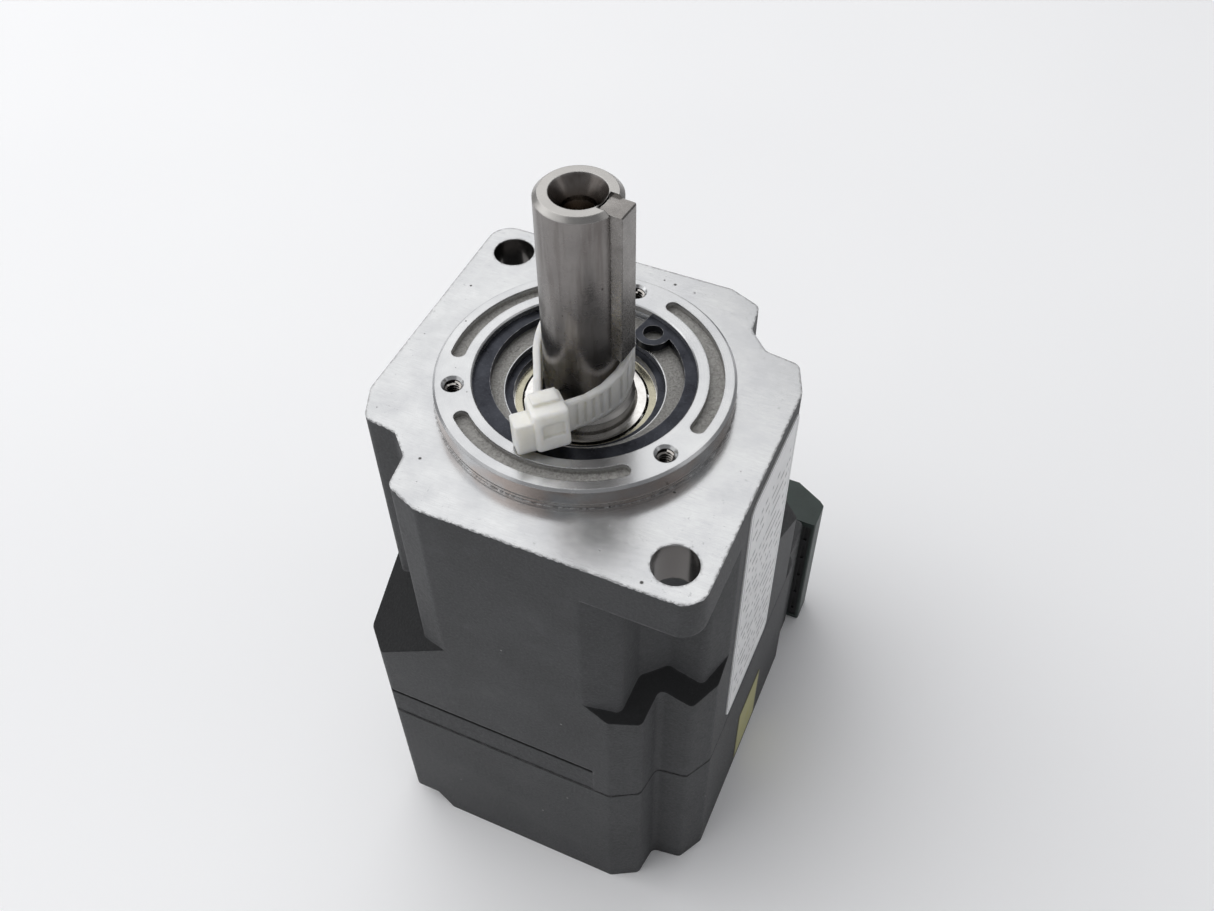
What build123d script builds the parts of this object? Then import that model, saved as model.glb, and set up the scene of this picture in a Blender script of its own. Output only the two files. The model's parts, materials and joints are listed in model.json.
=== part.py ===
from build123d import *
import math
import os

# Square-flanged geared drive unit with an inline planetary reducer.
# Frame: the origin is on the output shaft axis, in the machined mounting face of the flange.
# +Z points out of the unit along the output shaft. All sizes are in millimetres.

# ---- mounting flange, pilot boss and output shaft ----
FLANGE_HALF = 40.0
FLANGE_THICKNESS = 10.5
FLANGE_CORNER_R = 5.0
FLANGE_HOLE_OFFSET = 32.4
FLANGE_HOLE_R = 4.5
PILOT_R = 30.0
PILOT_HEIGHT = 5.0
PILOT_THREAD_CIRCLE_R = 26.0
PILOT_THREAD_R = 1.67
PILOT_THREAD_DEPTH = 12.0
PILOT_THREAD_ANGLES = (90.0, 210.0, 330.0)
SLOT_INNER_R = 24.6
SLOT_OUTER_R = 27.6
SLOT_DEPTH = 1.6
SLOT_HALF_ANGLE = 40.2
SLOT_ANGLES = (30.0, 150.0, 270.0)
SHAFT_R = 8.0
SHAFT_TIP_Z = 49.0
SHAFT_SEAT_R = 10.0
KEY_WIDTH = 5.0
KEY_AZIMUTH = -6.0
KEY_BOTTOM_Z = 15.0
KEY_TOP_Z = 48.4
KEY_FLOOR_R = 5.0
KEY_OUTER_R = 10.0
CENTRE_THREAD_R = 2.5
CENTRE_THREAD_LENGTH = 16.0

# ---- shipping tie left on the shaft ----
TIE_LOOP_R = 8.45
TIE_STRAP_THICKNESS = 1.45
TIE_NECK_LEFT = (-2.9, -16.0)
TIE_NECK_RIGHT = (4.0, -15.6)
TIE_HEAD_CENTRE = (1.0, -18.2, 9.95)
TIE_HEAD_HALF = (3.4, 4.3, 3.6)
TIE_HEAD_TURN = 43.7
TIE_HEAD_TIP = 7.0

# ---- casting heights ----
SEAM_Z = -88.0
GASKET_THICKNESS = 0.3
REAR_TOP_Z = SEAM_Z - GASKET_THICKNESS
BASE_Z = -135.0
RAMP_START_DISTANCE = 38.5
RAMP_START_Z = -48.0
RAISED_CORNER_Z = -129.0
EXTENSION_END_Y = 54.0
HOOD_END_Y = 67.0
HOOD_HALF_WIDTH = 41.8

# ---- bores in the front casting ----
PILOT_BORE_R = 22.2
PILOT_BORE_FLOOR_Z = 1.1
FRONT_SEAT_R = 16.0
FRONT_BEARING_TOP_Z = -1.8
FRONT_BEARING_WIDTH = 7.0
REAR_SEAT_R = 21.0
REAR_BEARING_TOP_Z = -15.0
REAR_BEARING_WIDTH = 12.0
RING_SEAT_R = 31.8
CHAMBER_TOP_Z = -27.5
MOTOR_BORE_R = 37.0
MOTOR_BORE_TOP_Z = -53.0

# ---- planetary stage ----
GEAR_MODULE = 0.8
SUN_TEETH = 18
PLANET_TEETH = 27
RING_TEETH = SUN_TEETH + 2 * PLANET_TEETH
CARRIER_R = GEAR_MODULE * (SUN_TEETH + PLANET_TEETH) / 2
PLANET_ANGLES = (90.0, 210.0, 330.0)
PILLAR_ANGLES = (30.0, 150.0, 270.0)
PRESSURE_ANGLE = math.radians(20.0)
FLANK_RELIEF = 0.05
GEAR_TOP_Z = -33.6
GEAR_BOTTOM_Z = -47.6
CARRIER_PLATE_R = 26.0
FRONT_PLATE_TOP_Z = -28.5
FRONT_PLATE_BOTTOM_Z = -33.0
REAR_PLATE_TOP_Z = -48.2
REAR_PLATE_BOTTOM_Z = -52.0
PLANET_PIN_R = 3.0
PLANET_BUSH_R = 4.5
PILLAR_R = 4.5
SUN_SHAFT_R = 3.5

# ---- motor ----
MOTOR_SHAFT_R = 4.0
MOTOR_FLANGE_BOTTOM_Z = -60.0
MOTOR_SCREW_CIRCLE_R = 34.3
STATOR_TOP_Z = -65.0
STATOR_BOTTOM_Z = -86.0
STATOR_BORE_R = 19.2
ROTOR_CORE_R = 13.5
MAGNET_R = 18.6
POLE_COUNT = 8
TOOTH_COUNT = 12
MOTOR_FRONT_BEARING_TOP_Z = -57.5
MOTOR_REAR_BEARING_TOP_Z = -97.0
MOTOR_BEARING_WIDTH = 7.0
MOTOR_BEARING_R = 11.0

# ---- electronics compartment ----
PARTITION_TOP_Z = -97.0
PARTITION_BOTTOM_Z = -101.0
COVER_TOP_Z = -131.0
BOARD_TOP_Z = -117.4
BOARD_THICKNESS = 1.6
BOARD_HALF_WIDTH = 26.0
BOARD_FRONT_Y = -26.0
BOARD_REAR_Y = 48.0
HOUSING_SCREW_POINTS = ((-29.5, -29.5), (30.5, 30.5), (25.6, -33.2), (-25.6, 33.2))
COVER_SCREW_POINTS = ((-33.0, -8.0), (33.0, -8.0), (-32.0, 46.0), (32.0, 46.0), (0.0, -33.0))
BOARD_SCREW_POINTS = ((-21.0, -21.0), (15.0, -21.0), (-22.0, 44.0), (22.0, 44.0))

# ---- corner shapes of the castings, written for the corner between +X and +Y ----
UPPER_NOTCH = ((40.0, 16.5), (37.0, 23.8), (29.5, 24.8), (24.8, 29.5), (23.8, 37.0), (16.5, 40.0))
LOWER_NOTCH = ((40.0, 22.0), (36.5, 28.3), (29.3, 29.3), (28.3, 36.5), (22.0, 40.0))
PLAIN_CORNER = ((40.0, 34.5), (34.5, 40.0))
SQUARE_CORNER = ((40.0, 40.0),)


def disc(radius, z_low, z_high, x=0.0, y=0.0):
    return Pos(x, y, (z_low + z_high) / 2) * Cylinder(radius, z_high - z_low)


def tube(outer_r, inner_r, z_low, z_high, x=0.0, y=0.0):
    return disc(outer_r, z_low, z_high, x, y) - disc(inner_r, z_low - 1, z_high + 1, x, y)


def block(x_low, x_high, y_low, y_high, z_low, z_high):
    size = Box(x_high - x_low, y_high - y_low, z_high - z_low)
    return Pos((x_low + x_high) / 2, (y_low + y_high) / 2, (z_low + z_high) / 2) * size


def prism(points, z_low, z_high, rounding=0.0):
    """Straight prism over a closed polygon, with its upright edges rounded."""
    face = make_face(Polyline(*points, close=True))
    sketch = Sketch() + face
    if rounding > 0:
        sketch = fillet(sketch.vertices(), rounding)
    return Pos(0, 0, z_low) * extrude(sketch, z_high - z_low)


def polar(radius, angle):
    return radius * math.cos(math.radians(angle)), radius * math.sin(math.radians(angle))


def join(solids):
    """One node made of several separate solids."""
    return Compound(children=list(solids))


def turned(profile):
    """Solid of revolution about Z from (radius, z) points."""
    face = make_face(Polyline(*[(r, 0, z) for r, z in profile], close=True))
    return revolve(face, Axis.Z)


def quarter_turn(points, turns):
    turned_points = [tuple(point) for point in points]
    for _ in range(turns):
        turned_points = [(-y, x) for x, y in turned_points]
    return turned_points


def casting_outline(corners):
    """Outline of a square casting: one corner shape per quadrant, counter-clockwise from +X +Y."""
    outline = []
    for quadrant, corner in enumerate(corners):
        outline.extend(quarter_turn(corner, quadrant))
    return outline


# ---------------------------------------------------------------- gears

def involute_outline(teeth, tip_r, root_r, flank_shift, tooth_angle):
    """Closed outline of an external gear. flank_shift moves each flank outwards (negative thins the tooth)."""
    pitch_r = GEAR_MODULE * teeth / 2
    base_r = pitch_r * math.cos(PRESSURE_ANGLE)
    involute_at_pitch = math.tan(PRESSURE_ANGLE) - PRESSURE_ANGLE
    half_at_pitch = math.pi / (2 * teeth) + flank_shift / pitch_r
    start_r = max(base_r, root_r)
    steps = 5
    flank = []
    for step in range(steps + 1):
        radius = start_r + (tip_r - start_r) * step / steps
        roll = math.acos(min(1.0, base_r / radius))
        half = half_at_pitch + involute_at_pitch - (math.tan(roll) - roll)
        flank.append((radius, half))
    if root_r < start_r - 0.01:
        flank.insert(0, (root_r, flank[0][1]))
    points = []
    for tooth in range(teeth):
        centre = math.radians(tooth_angle) + 2 * math.pi * tooth / teeth
        for radius, half in flank:
            points.append((radius * math.cos(centre - half), radius * math.sin(centre - half)))
        for radius, half in reversed(flank):
            points.append((radius * math.cos(centre + half), radius * math.sin(centre + half)))
    return points


def make_sun_gear():
    pitch_r = GEAR_MODULE * SUN_TEETH / 2
    outline = involute_outline(SUN_TEETH, pitch_r + 0.72, pitch_r - 1.0, -FLANK_RELIEF, PLANET_ANGLES[0])
    gear = prism(outline, GEAR_BOTTOM_Z - 0.4, GEAR_TOP_Z + 0.2)
    return gear - disc(SUN_SHAFT_R, GEAR_BOTTOM_Z - 2, GEAR_TOP_Z + 2)


def make_planet_gear(angle):
    pitch_r = GEAR_MODULE * PLANET_TEETH / 2
    outline = involute_outline(PLANET_TEETH, pitch_r + 0.68, pitch_r - 0.96, -FLANK_RELIEF, angle)
    gear = prism(outline, GEAR_BOTTOM_Z, GEAR_TOP_Z)
    gear -= disc(PLANET_BUSH_R, GEAR_BOTTOM_Z - 1, GEAR_TOP_Z + 1)
    gear -= tube(8.6, 6.2, GEAR_TOP_Z - 1.2, GEAR_TOP_Z + 1)
    gear -= tube(8.6, 6.2, GEAR_BOTTOM_Z - 1, GEAR_BOTTOM_Z + 1.2)
    x, y = polar(CARRIER_R, angle)
    return Pos(x, y, 0) * gear


def make_planet_bushing(angle):
    x, y = polar(CARRIER_R, angle)
    return tube(PLANET_BUSH_R, PLANET_PIN_R + 0.03, GEAR_BOTTOM_Z, GEAR_TOP_Z, x, y)


def make_ring_gear():
    pitch_r = GEAR_MODULE * RING_TEETH / 2
    space_angle = PLANET_ANGLES[0]
    outline = involute_outline(RING_TEETH, pitch_r + 1.0, pitch_r - 0.6, FLANK_RELIEF, space_angle)
    ring = disc(RING_SEAT_R, MOTOR_BORE_TOP_Z, -32.0)
    return ring - prism(outline, MOTOR_BORE_TOP_Z - 1, -31.0)


# ---------------------------------------------------------------- ball bearings

def bearing_outer_ring(outer_r, land_r, pitch_r, ball_r, z_top, width):
    ring = tube(outer_r, land_r, z_top - width, z_top)
    groove = Pos(0, 0, z_top - width / 2) * Torus(pitch_r, ball_r + 0.04)
    ring -= groove
    rim = ring.edges().filter_by(GeomType.CIRCLE).filter_by(lambda edge: abs(edge.radius - outer_r) < 0.01)
    return chamfer(rim, 0.35)


def bearing_inner_ring(bore_r, land_r, pitch_r, ball_r, z_top, width):
    ring = tube(land_r, bore_r, z_top - width, z_top)
    groove = Pos(0, 0, z_top - width / 2) * Torus(pitch_r, ball_r + 0.04)
    ring -= groove
    rim = ring.edges().filter_by(GeomType.CIRCLE).filter_by(lambda edge: abs(edge.radius - bore_r) < 0.01)
    return chamfer(rim, 0.45)


def bearing_balls(count, pitch_r, ball_r, z_top, width):
    balls = []
    for index in range(count):
        x, y = polar(pitch_r, 360.0 * index / count + 7.0)
        balls.append(Pos(x, y, z_top - width / 2) * Sphere(ball_r))
    return join(balls)


def make_front_bearing_shields():
    upper = tube(14.2, 12.75, FRONT_BEARING_TOP_Z - 0.55, FRONT_BEARING_TOP_Z - 0.2)
    lower_z = FRONT_BEARING_TOP_Z - FRONT_BEARING_WIDTH
    lower = tube(14.2, 12.75, lower_z + 0.2, lower_z + 0.55)
    return join([upper, lower])


# ---------------------------------------------------------------- retaining rings

def retaining_ring(outer_r, inner_r, eccentricity, lug, gap_angle, z_low, z_high):
    """Internal retaining ring: thick opposite its gap, with two drilled lugs beside the gap.

    lug is (radius of its centre, its own radius, eye radius, half angle between the lugs)."""
    lug_centre_r, lug_r, eye_r, half_angle = lug
    shift_x, shift_y = polar(eccentricity, gap_angle)
    ring = disc(outer_r, z_low, z_high) - disc(inner_r, z_low - 1, z_high + 1, shift_x, shift_y)
    for side in (-1, 1):
        x, y = polar(lug_centre_r, gap_angle + side * half_angle)
        ring += disc(lug_r, z_low, z_high, x, y) & disc(outer_r, z_low, z_high)
    spread = half_angle - math.degrees(math.asin(lug_r / lug_centre_r)) + 1.0
    reach = outer_r + 2
    wedge = [(0, 0), polar(reach, gap_angle - spread), polar(reach, gap_angle + spread)]
    ring -= prism(wedge, z_low - 1, z_high + 1)
    for side in (-1, 1):
        x, y = polar(lug_centre_r, gap_angle + side * half_angle)
        ring -= disc(eye_r, z_low - 1, z_high + 1, x, y)
    return ring


def make_pilot_circlip():
    return retaining_ring(23.3, 19.3, 1.1, (18.9, 3.7, 2.1, 21.9), 89.0, 1.7, 3.45)


def make_bearing_circlip():
    return retaining_ring(16.8, 14.4, 0.25, (14.6, 2.0, 0.8, 20.0), 118.0, -1.75, -0.55)


# ---------------------------------------------------------------- castings

def corner_wedge(quadrant, profile):
    """Cutter across one corner. The profile is (distance along the diagonal, z) points."""
    face = make_face(Polyline(*[(d, 0, z) for d, z in profile], close=True))
    cutter = extrude(face, 40, both=True)
    return Rot(0, 0, 45.0 + 90.0 * quadrant) * cutter


def make_front_housing():
    flange_outline = casting_outline((UPPER_NOTCH, SQUARE_CORNER, UPPER_NOTCH, SQUARE_CORNER))
    flange_face = Sketch() + make_face(Polyline(*flange_outline, close=True))
    square_corners = [v for v in flange_face.vertices() if min(abs(v.X), abs(v.Y)) > 39.0]
    flange_face = fillet(square_corners, FLANGE_CORNER_R)
    notch_corners = [v for v in flange_face.vertices() if min(abs(v.X), abs(v.Y)) < 34.0]
    flange_face = fillet(notch_corners, 2.2)
    flange = Pos(0, 0, -FLANGE_THICKNESS) * extrude(flange_face, FLANGE_THICKNESS)
    upper = prism(casting_outline((UPPER_NOTCH,) * 4), -62.0, -FLANGE_THICKNESS, 2.2)
    lower_outline = casting_outline((PLAIN_CORNER, LOWER_NOTCH, PLAIN_CORNER, LOWER_NOTCH))
    lower = prism(lower_outline, SEAM_Z, -45.0, 2.0)
    far = RAMP_START_DISTANCE + 24.0
    near = RAMP_START_DISTANCE - 6.0
    ramp = ((near, RAMP_START_Z + 6.0), (far, RAMP_START_Z - 24.0), (far, -30.0), (near, -30.0))
    for quadrant in range(4):
        lower -= corner_wedge(quadrant, ramp)
    body = flange + upper + lower
    # pilot boss
    boss = disc(PILOT_R, -1.0, PILOT_HEIGHT)
    boss_rim = boss.edges().filter_by(GeomType.CIRCLE).sort_by(Axis.Z)[-1]
    body += chamfer(boss_rim, 0.5)
    # band above the seam on the front side: a deep groove along its top, below it a ramp that comes
    # back out and a face that leans out a little more
    band = [(-39.9, SEAM_Z - 1), (-39.5, -80.6), (-38.5, -80.0), (-38.4, -79.6), (-38.4, -78.9)]
    band += [(-38.6, -78.5), (-41.0, -78.4), (-41.0, SEAM_Z - 1)]
    band_face = make_face(Polyline(*[(0, y, z) for y, z in band], close=True))
    body -= Pos(-11.5, 0, 0) * extrude(band_face, 29.5, both=True)
    # stepped bore from the pilot end to the motor end
    body -= disc(PILOT_BORE_R, PILOT_BORE_FLOOR_Z, PILOT_HEIGHT + 1)
    body -= turned(((0, 4.7), (PILOT_BORE_R, 4.7), (PILOT_BORE_R + 0.5, 5.2), (0, 5.2)))
    body -= disc(23.4, 1.65, 3.5)
    body -= disc(FRONT_SEAT_R, FRONT_BEARING_TOP_Z - FRONT_BEARING_WIDTH, 2)
    body -= disc(16.85, -1.8, -0.5)
    body -= disc(14.5, REAR_BEARING_TOP_Z - 1, -7)
    body -= disc(REAR_SEAT_R, CHAMBER_TOP_Z - 1, REAR_BEARING_TOP_Z)
    body -= disc(RING_SEAT_R, MOTOR_BORE_TOP_Z - 1, CHAMBER_TOP_Z)
    body -= disc(MOTOR_BORE_R, SEAM_Z - 1, MOTOR_BORE_TOP_Z)
    # arc slots and threaded holes in the boss
    for angle in SLOT_ANGLES:
        body -= make_arc_slot(angle)
    for angle in PILOT_THREAD_ANGLES:
        x, y = polar(PILOT_THREAD_CIRCLE_R, angle)
        body -= disc(PILOT_THREAD_R, PILOT_HEIGHT - PILOT_THREAD_DEPTH, PILOT_HEIGHT + 1, x, y)
        mouth = Pos(x, y, PILOT_HEIGHT - 0.3) * Cone(PILOT_THREAD_R, PILOT_THREAD_R + 0.65, 0.65)
        body -= mouth
    # flange bolt holes on one diagonal
    for side in (-1, 1):
        x = side * FLANGE_HOLE_OFFSET
        body -= disc(FLANGE_HOLE_R, -FLANGE_THICKNESS - 1, 1, x, -x)
    # tapped holes for the motor flange screws and the housing screws
    for index in range(4):
        x, y = polar(MOTOR_SCREW_CIRCLE_R, 90.0 * index)
        body -= disc(1.25, MOTOR_BORE_TOP_Z - 1, -47.0, x, y)
    for x, y in HOUSING_SCREW_POINTS:
        body -= disc(1.5, SEAM_Z - 1, -77.0, x, y)
    return body


def make_arc_slot(angle):
    mid_r = (SLOT_INNER_R + SLOT_OUTER_R) / 2
    half_width = (SLOT_OUTER_R - SLOT_INNER_R) / 2
    z_low = PILOT_HEIGHT - SLOT_DEPTH
    z_high = PILOT_HEIGHT + 1
    ring = tube(SLOT_OUTER_R, SLOT_INNER_R, z_low, z_high)
    reach = 60.0
    sector = [(0, 0)]
    for step in range(-4, 5):
        sector.append(polar(reach, angle + SLOT_HALF_ANGLE * step / 4))
    slot = ring & prism(sector, z_low - 1, z_high + 1)
    for side in (-1, 1):
        x, y = polar(mid_r, angle + side * SLOT_HALF_ANGLE)
        slot += disc(half_width, z_low, z_high, x, y)
    return slot


def rear_outline():
    front_edge = quarter_turn(PLAIN_CORNER, 2) + quarter_turn(LOWER_NOTCH, 3)
    far_edge = [(40.0, 40.0), (38.5, 42.0), (38.5, EXTENSION_END_Y)]
    mirrored = [(-x, y) for x, y in reversed(far_edge)]
    return front_edge + far_edge + mirrored


def compartment_outline():
    right = [(21.5, -36.0), (21.5, -21.5), (36.0, -21.5), (36.0, 40.0), (35.0, 43.0), (35.0, 50.5)]
    left = [(-35.0, 50.5), (-35.0, 43.0), (-36.0, 40.0), (-36.0, -25.0), (-25.0, -36.0)]
    return right + left


def cover_sketch(gap):
    """Outline of the bottom cover, grown outwards by a gap for the recess that takes it."""
    right = [(20.5, -37.2), (23.5, -34.8), (23.5, -26.6), (37.2, -20.8), (37.2, 39.0), (36.0, 43.0), (36.0, 51.2)]
    left = [(-36.0, 51.2), (-36.0, 43.0), (-37.2, 39.0), (-37.2, -23.0), (-23.0, -37.2)]
    sketch = Sketch() + make_face(Polyline(*(right + left), close=True))
    sketch = fillet(sketch.vertices(), 0.9)
    return offset(sketch, gap) if gap > 0 else sketch


def make_rear_housing():
    body = prism(rear_outline(), BASE_Z, REAR_TOP_Z, 1.6)
    raised = ((45.6, BASE_Z), (48.4, RAISED_CORNER_Z), (60.0, RAISED_CORNER_Z), (60.0, BASE_Z - 1), (45.6, BASE_Z - 1))
    body -= corner_wedge(2, raised)
    body -= disc(36.0, PARTITION_TOP_Z, REAR_TOP_Z + 1)
    hollow = prism(compartment_outline(), COVER_TOP_Z - 1, PARTITION_BOTTOM_Z, 2.0)
    hollow -= disc(15.0, PARTITION_BOTTOM_Z - 6, PARTITION_BOTTOM_Z + 1)
    for x, y in HOUSING_SCREW_POINTS:
        hollow -= disc(4.2, COVER_TOP_Z - 2, PARTITION_BOTTOM_Z + 1, x, y)
    for x, y in COVER_SCREW_POINTS:
        hollow -= disc(3.4, COVER_TOP_Z - 2, PARTITION_BOTTOM_Z + 1, x, y)
    for x, y in BOARD_SCREW_POINTS:
        hollow -= disc(2.8, BOARD_TOP_Z, PARTITION_BOTTOM_Z + 1, x, y)
    body -= hollow
    body -= Pos(0, 0, BASE_Z - 1) * extrude(cover_sketch(0.15), COVER_TOP_Z - BASE_Z + 1)
    body -= disc(MOTOR_BEARING_R, MOTOR_REAR_BEARING_TOP_Z - MOTOR_BEARING_WIDTH, PARTITION_TOP_Z + 1)
    body -= disc(8.0, PARTITION_BOTTOM_Z - 8, PARTITION_BOTTOM_Z)
    body -= block(-22.0, 22.0, 50.0, EXTENSION_END_Y + 1, -127.0, -107.0)
    for x, y in HOUSING_SCREW_POINTS:
        body -= disc(1.6, COVER_TOP_Z - 2, REAR_TOP_Z + 1, x, y)
        body -= disc(2.9, COVER_TOP_Z - 2, -127.5, x, y)
    for x, y in COVER_SCREW_POINTS:
        body -= disc(1.25, COVER_TOP_Z - 2, -121.0, x, y)
    for x, y in BOARD_SCREW_POINTS:
        body -= disc(1.0, BOARD_TOP_Z - 1, -108.0, x, y)
    for x in (-27.0, 27.0):
        bore = Pos(x, 0, -98.0) * Rot(90, 0, 0) * Cylinder(1.25, 12.0)
        body -= Pos(0, EXTENSION_END_Y, 0) * bore
    return body


def make_housing_gasket():
    outline = casting_outline((PLAIN_CORNER, LOWER_NOTCH, PLAIN_CORNER, LOWER_NOTCH))
    sheet = Sketch() + make_face(Polyline(*outline, close=True))
    sheet = offset(sheet, -0.5, kind=Kind.INTERSECTION)
    gasket = Pos(0, 0, REAR_TOP_Z) * extrude(sheet, GASKET_THICKNESS)
    gasket -= disc(MOTOR_BORE_R + 0.2, REAR_TOP_Z - 1, SEAM_Z + 1)
    for x, y in HOUSING_SCREW_POINTS:
        gasket -= disc(1.7, REAR_TOP_Z - 1, SEAM_Z + 1, x, y)
    return gasket


def make_bottom_cover():
    cover = Pos(0, 0, BASE_Z) * extrude(cover_sketch(0.0), COVER_TOP_Z - BASE_Z)
    for x, y in COVER_SCREW_POINTS:
        cover -= disc(1.4, BASE_Z - 1, COVER_TOP_Z + 1, x, y)
        cover -= disc(2.75, BASE_Z - 1, BASE_Z + 2.2, x, y)
    return cover


def make_connector_hood():
    half = HOOD_HALF_WIDTH
    start = EXTENSION_END_Y + 0.2
    right = [(half, start), (half, 61.6), (40.4, 62.9), (33.0, HOOD_END_Y)]
    left = [(-x, y) for x, y in reversed(right)]
    body = prism(right + left, BASE_Z + 0.5, REAR_TOP_Z, 0.6)
    body -= block(-36.0, 36.0, start - 1, 63.0, -130.5, -93.0)
    body += block(-36.0, 36.0, start, start + 2.0, -104.0, -93.0)
    for side in (-1, 1):
        slot = block(38.3, 40.8, start - 1, start + 5.5, -133.2, -90.2)
        body -= slot if side > 0 else mirror(slot, Plane.YZ)
    for x in (-27.0, 27.0):
        body -= Pos(x, 60.0, -98.0) * Rot(90, 0, 0) * Cylinder(1.45, 20.0)
        body -= Pos(x, HOOD_END_Y, -98.0) * Rot(90, 0, 0) * Cylinder(2.9, 6.0)
        body += Pos(x, (start + 2 + 63.5) / 2, -98.0) * Rot(90, 0, 0) * (
            Cylinder(3.6, 63.5 - start - 2) - Cylinder(1.45, 20.0))
    return body


def make_cable_entry_seals():
    start = EXTENSION_END_Y + 0.5
    seals = []
    for side in (-1, 1):
        seal = block(38.3, 40.8, start, start + 5.2, -133.2, -90.2)
        for index in range(5):
            z = -130.5 + 8.5 * index
            seal -= block(39.1, 40.0, start - 1, start + 0.5, z, z + 6.0)
        seals.append(seal if side > 0 else mirror(seal, Plane.YZ))
    return join(seals)


# ---------------------------------------------------------------- output shaft group

def make_output_shaft():
    profile = [(0, FRONT_PLATE_BOTTOM_Z), (CARRIER_PLATE_R, FRONT_PLATE_BOTTOM_Z)]
    profile += [(CARRIER_PLATE_R, FRONT_PLATE_TOP_Z), (12.4, FRONT_PLATE_TOP_Z), (12.4, -27.0)]
    profile += [(SHAFT_SEAT_R, -27.0), (SHAFT_SEAT_R, 0.5), (9.3, 1.2), (8.7, 1.6), (SHAFT_R, 2.9)]
    profile += [(SHAFT_R, SHAFT_TIP_Z - 0.9), (SHAFT_R - 0.9, SHAFT_TIP_Z), (0, SHAFT_TIP_Z)]
    shaft = turned(profile)
    for angle in PILLAR_ANGLES:
        x, y = polar(CARRIER_R, angle)
        shaft += disc(PILLAR_R, REAR_PLATE_TOP_Z, FRONT_PLATE_BOTTOM_Z + 1, x, y)
        shaft -= disc(1.25, REAR_PLATE_TOP_Z - 1, -36.0, x, y)
    for angle in PLANET_ANGLES:
        x, y = polar(CARRIER_R, angle)
        shaft -= disc(PLANET_PIN_R, FRONT_PLATE_BOTTOM_Z - 1, FRONT_PLATE_BOTTOM_Z + 3.5, x, y)
    keyway = block(KEY_FLOOR_R, SHAFT_R + 2, -KEY_WIDTH / 2, KEY_WIDTH / 2, KEY_BOTTOM_Z, SHAFT_TIP_Z + 1)
    shaft -= Rot(0, 0, KEY_AZIMUTH) * keyway
    # centre hole: thread, relief, cone and protective countersink
    shaft -= disc(CENTRE_THREAD_R, SHAFT_TIP_Z - CENTRE_THREAD_LENGTH - 4.0, SHAFT_TIP_Z - 3.0)
    mouth = [(0, SHAFT_TIP_Z - 5.5), (CENTRE_THREAD_R, SHAFT_TIP_Z - 5.5), (3.2, SHAFT_TIP_Z - 4.4)]
    mouth += [(3.2, SHAFT_TIP_Z - 3.4), (4.6, SHAFT_TIP_Z - 1.1), (5.3, SHAFT_TIP_Z + 0.01), (0, SHAFT_TIP_Z + 0.01)]
    shaft -= turned(mouth)
    return shaft


def make_shaft_key():
    key = block(KEY_FLOOR_R, KEY_OUTER_R, -KEY_WIDTH / 2, KEY_WIDTH / 2, KEY_BOTTOM_Z, KEY_TOP_Z)
    outer_edges = [e for e in key.edges() if abs(e.center().X - KEY_OUTER_R) < 0.01]
    key = chamfer(outer_edges, 0.25)
    # the countersink of the shaft centre hole also clips the top of the key
    return Rot(0, 0, KEY_AZIMUTH) * key - disc(5.35, KEY_TOP_Z - 3.4, KEY_TOP_Z + 1)


def make_bearing_spacer():
    return tube(12.2, SHAFT_SEAT_R, REAR_BEARING_TOP_Z, FRONT_BEARING_TOP_Z - FRONT_BEARING_WIDTH)


def make_carrier_plate():
    plate = tube(CARRIER_PLATE_R, 10.0, REAR_PLATE_BOTTOM_Z, REAR_PLATE_TOP_Z)
    for angle in PLANET_ANGLES:
        x, y = polar(CARRIER_R, angle)
        plate -= disc(PLANET_PIN_R, REAR_PLATE_BOTTOM_Z - 1, REAR_PLATE_TOP_Z + 1, x, y)
    for angle in PILLAR_ANGLES:
        x, y = polar(CARRIER_R, angle)
        plate -= disc(1.4, REAR_PLATE_BOTTOM_Z - 1, REAR_PLATE_TOP_Z + 1, x, y)
        plate -= disc(2.5, REAR_PLATE_BOTTOM_Z - 1, REAR_PLATE_BOTTOM_Z + 2.2, x, y)
    return plate


def make_planet_pins():
    pins = []
    for angle in PLANET_ANGLES:
        x, y = polar(CARRIER_R, angle)
        pins.append(disc(PLANET_PIN_R, REAR_PLATE_BOTTOM_Z + 0.3, FRONT_PLATE_BOTTOM_Z + 3.4, x, y))
    return join(pins)


def socket_screw(thread_r, head_r, head_height, length):
    """Socket-head cap screw along +Z: the head's underside is at z = 0, the head below it."""
    screw = disc(thread_r, 0, length) + disc(head_r, -head_height, 0)
    socket = Pos(0, 0, -head_height) * extrude(RegularPolygon(head_r * 0.52, 6), head_height * 0.55)
    return screw - socket


def screw_group(points, seat_z, thread_r, head_r, head_height, length):
    return join([Pos(x, y, seat_z) * socket_screw(thread_r, head_r, head_height, length) for x, y in points])


def make_carrier_screws():
    points = [polar(CARRIER_R, angle) for angle in PILLAR_ANGLES]
    return screw_group(points, REAR_PLATE_BOTTOM_Z + 2.2, 1.25, 2.25, 2.0, 12.0)


def tie_slab(margin):
    """Slab that follows the height of the strap: lowest in front of the shaft, highest behind it."""
    low = [(-22.0, 6.3), (-15.0, 5.2), (-10.5, 3.6), (-6.5, 2.9), (-3.0, 3.3), (12.0, 11.6)]
    high = [(12.0, 19.9), (1.7, 14.7), (-3.0, 11.8), (-6.5, 10.6), (-10.5, 11.0), (-15.0, 12.9), (-22.0, 14.0)]
    profile = [(0, y, z + margin) for y, z in low] + [(0, y, z - margin) for y, z in high]
    face = make_face(Polyline(*profile, close=True))
    return extrude(face, 15.0, both=True)


def tie_loop(loop_r, inset):
    """Solid round the shaft that narrows to the neck where the strap meets its head."""
    circle = CenterArc((0, 0), loop_r, 0, 360)
    neck = Line((TIE_NECK_LEFT[0] + inset, TIE_NECK_LEFT[1]), (TIE_NECK_RIGHT[0] - inset, TIE_NECK_RIGHT[1]))
    return extrude(make_hull([circle, neck]), 30.0)


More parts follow.
